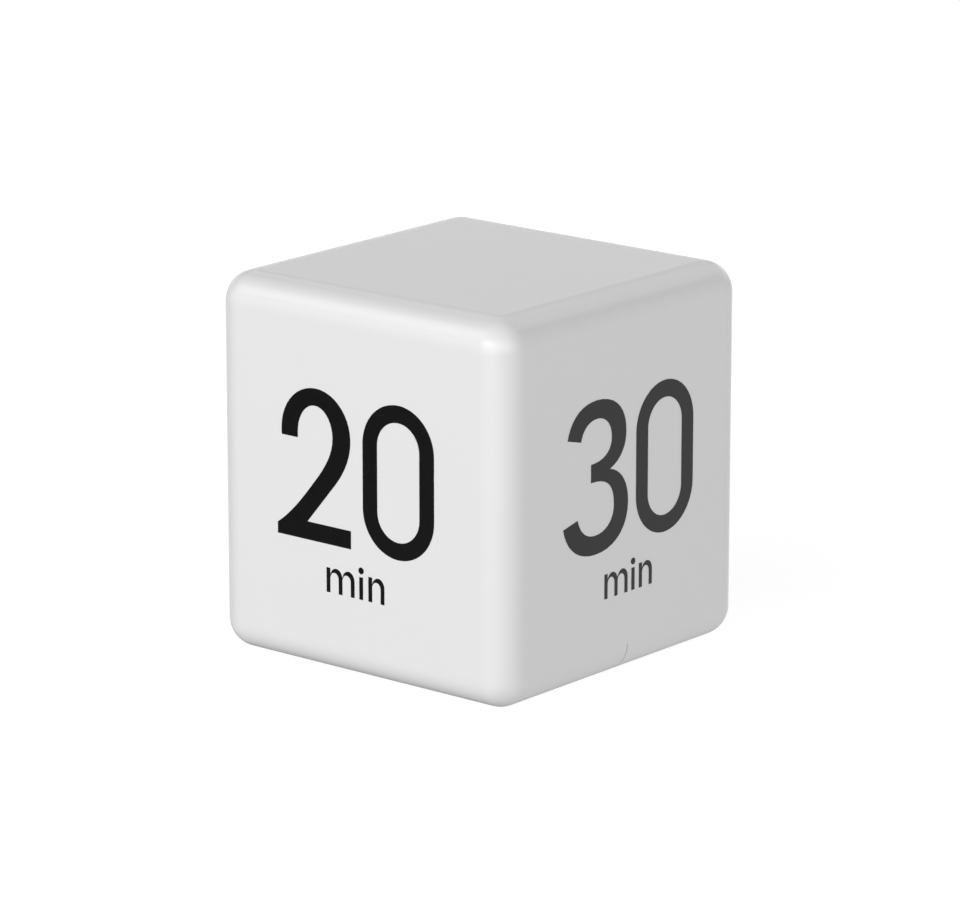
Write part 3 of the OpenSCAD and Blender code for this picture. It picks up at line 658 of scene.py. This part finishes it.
def tracks(shape):
    """Copper under the mask: chip to display pins, chip to connector, and a lead-out for each resistor."""
    leads = sorted((corners(group) for group in solids("controller_leads")), key=lambda box: box[0].x)
    pins = sorted((middle(group) for group in solids("display_pins")), key=lambda at: at.x)
    mid = middle(list(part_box("controller_chip")))
    near_row = [box for box in leads if box[1].y < mid.y]
    far_row = [box for box in leads if box[0].y > mid.y]
    far_pins = [at for at in pins if at.y > 0]
    width, step = 0.34 * MM, 0.8 * MM
    bend = 0.6 * MM

    def draw(points):
        track(shape, points, width, UNDER, TRACK_T)

    def hop(start, level, end):
        """Down from start, along at a level and down to the end, with 45 degree corners."""
        cut = min(bend, abs(end.x - start.x) / 2)
        turn = math.copysign(cut, end.x - start.x)
        draw([(start.x, start.y), (start.x, level + cut), (start.x + turn, level),
              (end.x - turn, level), (end.x, level - cut), (end.x, end.y)])

    # Which of four levels each track runs along, in the order of the chip's leads
    ranks = [2, 3, 0, 1, 2, 3]
    for box, end, rank in zip(near_row[1:7], far_pins, ranks):
        start = Vector(((box[0].x + box[1].x) / 2, box[0].y, 0))
        hop(start, far_pins[0].y + 2.3 * MM + rank * step, Vector((end.x, end.y + 0.7 * MM, 0)))
    plug_low, plug_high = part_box("wire_connector")
    for k, box in enumerate(far_row[:4]):
        x = (box[0].x + box[1].x) / 2
        level = box[1].y + 1.4 * MM + k * step
        down = plug_high.x + 3.7 * MM - k * 0.7 * MM
        end_y = (plug_low.y + plug_high.y) / 2 + WIRE_PITCH * (k - 0.5)
        draw([(x, box[1].y), (x, level - bend), (x - bend, level), (down + bend, level),
              (down, level - bend), (down, end_y + bend), (down - bend, end_y), (plug_high.x, end_y)])
    for group in solids("resistors"):
        low, high = corners(group)
        x = (low.x + high.x) / 2
        draw([(x, high.y), (x, high.y + 1.2 * MM),
              (x + 0.8 * MM, high.y + 2 * MM), (x + 0.8 * MM, high.y + 3 * MM)])
        draw([(x, low.y), (x, low.y - 1.2 * MM),
              (x - bend, low.y - 1.8 * MM), (x - bend, low.y - 4 * MM)])


piece("board_pin_solder", "tinned_lead", pin_solder)
piece("chip_solder", "tinned_lead", chip_solder)
piece("resistor_ends", "tinned_lead", resistor_ends)
piece("connector_solder", "tinned_lead", connector_solder)
piece("crystal_flange", "can_metal", crystal_flange)
piece("board_tracks", "circuit_board", tracks)


# ---------- solder at the wires' ends ----------

def wire_start(node):
    """The middle of a wire's lower end."""
    points = solids(node)[0]
    lowest = min(p.z for p in points)
    return middle([p for p in points if p.z < lowest + 0.3 * MM])


def wire_solder(shape):
    """A lump of solder where each wire ends on a contact, the buzzer or the switch's board."""
    for node in ("battery_lead_red", "battery_lead_black"):
        at = wire_start(node)
        radii = (0.6 * MM, 0.95 * MM, 1.2 * MM)
        bead(shape, at + Vector((-0.35, 0, 0.75)) * MM, radii, at.y / MM)
    tops = {"buzzer_lead_red": "buzzer_ceramic", "buzzer_lead_black": "buzzer_plate",
            "switch_lead_yellow": "switch_board", "switch_lead_blue": "switch_board"}
    for node, under in tops.items():
        at = wire_start(node)
        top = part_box(under)[1].z
        radii = (1.1 * MM, 1.0 * MM, 0.75 * MM)
        bead(shape, Vector((at.x, at.y, top + 0.15 * MM)), radii, at.x / MM, lowest=top - 0.02 * MM)


piece("wire_solder", "tinned_lead", wire_solder)


# ---------- battery bay and switch ----------

def pressed_rings(shape):
    """Ribs pressed into the contact plates: round each spring and round each cell's nub."""
    for node, into in (("bridge_contact", -1), ("negative_contact", 1), ("positive_contact", 1)):
        low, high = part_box(node)
        face = low.x if into < 0 else high.x
        cells = [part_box(cell) for cell in ("aaa_cell_inner", "aaa_cell_outer")]
        for cell_low, cell_high in cells:
            centre = (cell_low + cell_high) / 2
            if not low.y < centre.y < high.y:
                continue
            foot = Vector((face, centre.y, centre.z))
            out = Vector((into, 0, 0))
            rib = [(2.45 * MM, -0.05 * MM), (2.6 * MM, 0.16 * MM), (2.8 * MM, 0.2 * MM),
                   (3.0 * MM, 0.16 * MM), (3.15 * MM, -0.05 * MM)]
            turned(shape, rib, foot, out, 32, hollow=True)


def nub_rings(shape):
    """White insulating washer at the + end of each cell."""
    for node, side in (("aaa_cell_inner", 1), ("aaa_cell_outer", -1)):
        low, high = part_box(node)
        tip = high.x if side > 0 else low.x
        foot = Vector((tip - side * 0.95 * MM, (low.y + high.y) / 2, (low.z + high.z) / 2))
        washer = [(2.65 * MM, 0), (2.65 * MM, 0.14 * MM), (3.9 * MM, 0.14 * MM), (4.05 * MM, 0)]
        turned(shape, washer, foot, Vector((side, 0, 0)), 32, hollow=True)


def switch_marks(shape):
    """I and O on the floor of the switch's recess: the bar marks on, the ring marks off."""
    low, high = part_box("switch_body")
    x, y = (low.x + high.x) / 2, (low.y + high.y) / 2
    floor_z, ink_t, reach = 0.8 * MM, 0.03 * MM, 5.5 * MM
    half_w, half_l = 0.13 * MM, 0.55 * MM
    block(shape, (x - half_w, y + reach - half_l, floor_z - ink_t),
          (x + half_w, y + reach + half_l, floor_z + ink_t), bevel=0.01 * MM)
    ring = [(0.38 * MM, 0), (0.38 * MM, ink_t), (0.6 * MM, ink_t), (0.6 * MM, 0)]
    turned(shape, ring, Vector((x, y - reach, floor_z)), DOWN, 32, hollow=True)


piece("contact_ribs", "spring_steel", pressed_rings)
piece("cell_washers", "ivory_plastic", nub_rings)
piece("switch_marks", "black_ink", switch_marks)


# ---------- camera ----------

# Fitted by a separate program to the photo's outline and print, with the case's size held fixed
AZIMUTH, ELEVATION = math.radians(39.852), math.radians(14.889)
DISTANCE = 0.834
SHIFT_RIGHT, SHIFT_DOWN = 0.013 * MM, 0.598 * MM
SENSOR, FOCAL_LENGTH = 36, 195.49


def direction(azimuth, elevation):
    """Unit vector towards a place. Azimuth 0 stands in front of the 20 face, 90 beside the 30 face."""
    level = math.cos(elevation)
    return Vector((math.sin(azimuth) * level, -math.cos(azimuth) * level, math.sin(elevation)))


back = direction(AZIMUTH, ELEVATION)
right = Vector((math.cos(AZIMUTH), math.sin(AZIMUTH), 0))
up = back.cross(right)

lens = bpy.data.cameras.new("camera")
lens.sensor_width = SENSOR
lens.lens = FOCAL_LENGTH
lens.clip_start, lens.clip_end = 0.05, 20
camera = bpy.data.objects.new("camera", lens)
scene.collection.objects.link(camera)
camera.matrix_world = Matrix.Translation(
    centre + SHIFT_RIGHT * right - SHIFT_DOWN * up + DISTANCE * back
) @ Matrix((right, up, back)).transposed().to_4x4()
scene.camera = camera


# ---------- floor and light ----------

FLOOR_GLOW = 0.8
FLOOR_DARK = (0.39, 0.39, 0.39, 1)
FLOOR_LIGHT = (0.41, 0.41, 0.41, 1)
WHITE = (1, 1, 1, 1)

def floor():
    """A pale studio sweep: a flat disc whose rim curves up into a wall.
    It lights nothing and casts no shadow, so a lamp below it shines through."""
    inner, flat, cove, wall, around, steps = 0.4, 3.0, 1.0, 2.0, 96, 12
    bends = [math.radians(90 * i / steps) for i in range(steps + 1)]
    profile = [(inner, 0.0), (flat, 0.0)]
    profile += [(flat + cove * math.sin(a), cove * (1 - math.cos(a))) for a in bends[1:]]
    profile.append((flat + cove, cove + wall))
    shape = bmesh.new()
    rings = [
        [shape.verts.new((r * math.cos(t), r * math.sin(t), z)) for t in
         (math.tau * k / around for k in range(around))]
        for r, z in profile
    ]
    shape.faces.new(rings[0])
    for low, high in zip(rings, rings[1:]):
        for k in range(around):
            shape.faces.new((low[k - 1], high[k - 1], high[k], low[k]))
    mesh = bpy.data.meshes.new("floor")
    shape.to_mesh(mesh)
    shape.free()
    made = bpy.data.objects.new("floor", mesh)
    scene.collection.objects.link(made)
    material, n = new_material("floor")
    tone = n.mix(n.noise(0.3, 2), FLOOR_DARK, FLOOR_LIGHT)
    n.surface(tone, 0.9, None, **{
        "Specular IOR Level": 0.0, "Emission Color": WHITE, "Emission Strength": FLOOR_GLOW})
    material.cycles.emission_sampling = "NONE"
    mesh.materials.append(material)
    made.visible_diffuse = False
    made.visible_glossy = False
    made.visible_shadow = False


floor()
SOFTBOX_DISTANCE = 1.2


def softbox(name, azimuth, elevation, width, height, radiance):
    """A soft rectangular light that faces the object, with the given radiance."""
    towards = direction(math.radians(azimuth), math.radians(elevation))
    data = bpy.data.lights.new(name, "AREA")
    data.shape = "RECTANGLE"
    data.size, data.size_y = width, height
    data.energy = math.pi * width * height * radiance
    lamp = bpy.data.objects.new(name, data)
    scene.collection.objects.link(lamp)
    lamp.location = centre + towards * SOFTBOX_DISTANCE
    lamp.rotation_euler = towards.to_track_quat("Z", "Y").to_euler()
    lamp.visible_camera = False


# Name, azimuth and elevation in degrees, width and height in metres, and radiance. The radiances
# here and the strengths in surroundings() were fitted to the photo's brightness by a separate
# program, and some were then changed by hand.
softbox("key", -12, 23, 0.85, 0.32, 3.5)
softbox("fill", 20, 25, 0.6, 0.5, 1.0)
softbox("low_front", 0, -2, 1.4, 0.4, 1.16)
softbox("high_left", -45, 40, 0.55, 0.6, 1.65)
softbox("side", 70, 20, 1.0, 0.9, 0.89)
softbox("rear", 180, 30, 0.8, 0.8, 1.0)
softbox("rear_left", -140, 40, 0.6, 0.6, 0.85)


def surroundings():
    """Light from all round: a wide soft front, a low glow at the back, and light from below the horizon,
    as a pale table would throw it back, near the cube and further out."""
    world = bpy.data.worlds.new("world")
    world.use_nodes = True
    n = Nodes(world.node_tree)
    ray = n.add("ShaderNodeTexCoord").outputs["Generated"]
    height = n.add("ShaderNodeSeparateXYZ", {0: ray}).outputs[2]

    def side(azimuth, start, end):
        """1 towards an azimuth and 0 away from it: start and end are cosines."""
        aim = n.add("ShaderNodeVectorMath", {0: ray, 1: direction(math.radians(azimuth), 0)[:]},
                    operation="DOT_PRODUCT")
        return n.remap(aim.outputs["Value"], 0, 1, start, end, smooth=True)

    above = n.remap(height, 0, 1, 0.0, 0.02, smooth=True)
    front = n.product(above, n.remap(height, 1, 0, 0.3, 0.9, smooth=True))
    low_sky = n.product(above, n.remap(height, 1, 0, 0.1, 0.55, smooth=True))
    below = n.remap(height, 1, 0, -0.02, 0.0, smooth=True)
    far = n.product(below, n.remap(height, 0, 1, -0.55, -0.25, smooth=True))
    close = n.product(below, n.remap(height, 1, 0, -0.55, -0.25, smooth=True))
    parts = [
        n.product(above, 0.12),
        n.product(front, side(-10, 0.3, 0.95), 0.47),
        n.product(front, side(30, 0.3, 0.95), 1.25),
        n.product(low_sky, side(-141, 0.5, 0.95), 1.01),
        n.product(low_sky, side(140, 0.5, 0.95), 0.37),
        n.product(far, side(-160, 0.0, 0.9), 0.86),
        n.product(far, side(80, 0.0, 0.9), 0.38),
        n.product(close, side(-40, -0.2, 0.7), 0.63),
        n.product(close, side(140, -0.2, 0.7), 0.79),
    ]
    total = parts[0]
    for part in parts[1:]:
        total = n.math("ADD", total, part)
    glow = n.add("ShaderNodeBackground", {"Color": WHITE, "Strength": total})
    n.add("ShaderNodeOutputWorld", {0: glow.outputs[0]})
    scene.world = world


surroundings()
scene.view_settings.view_transform = "Standard"
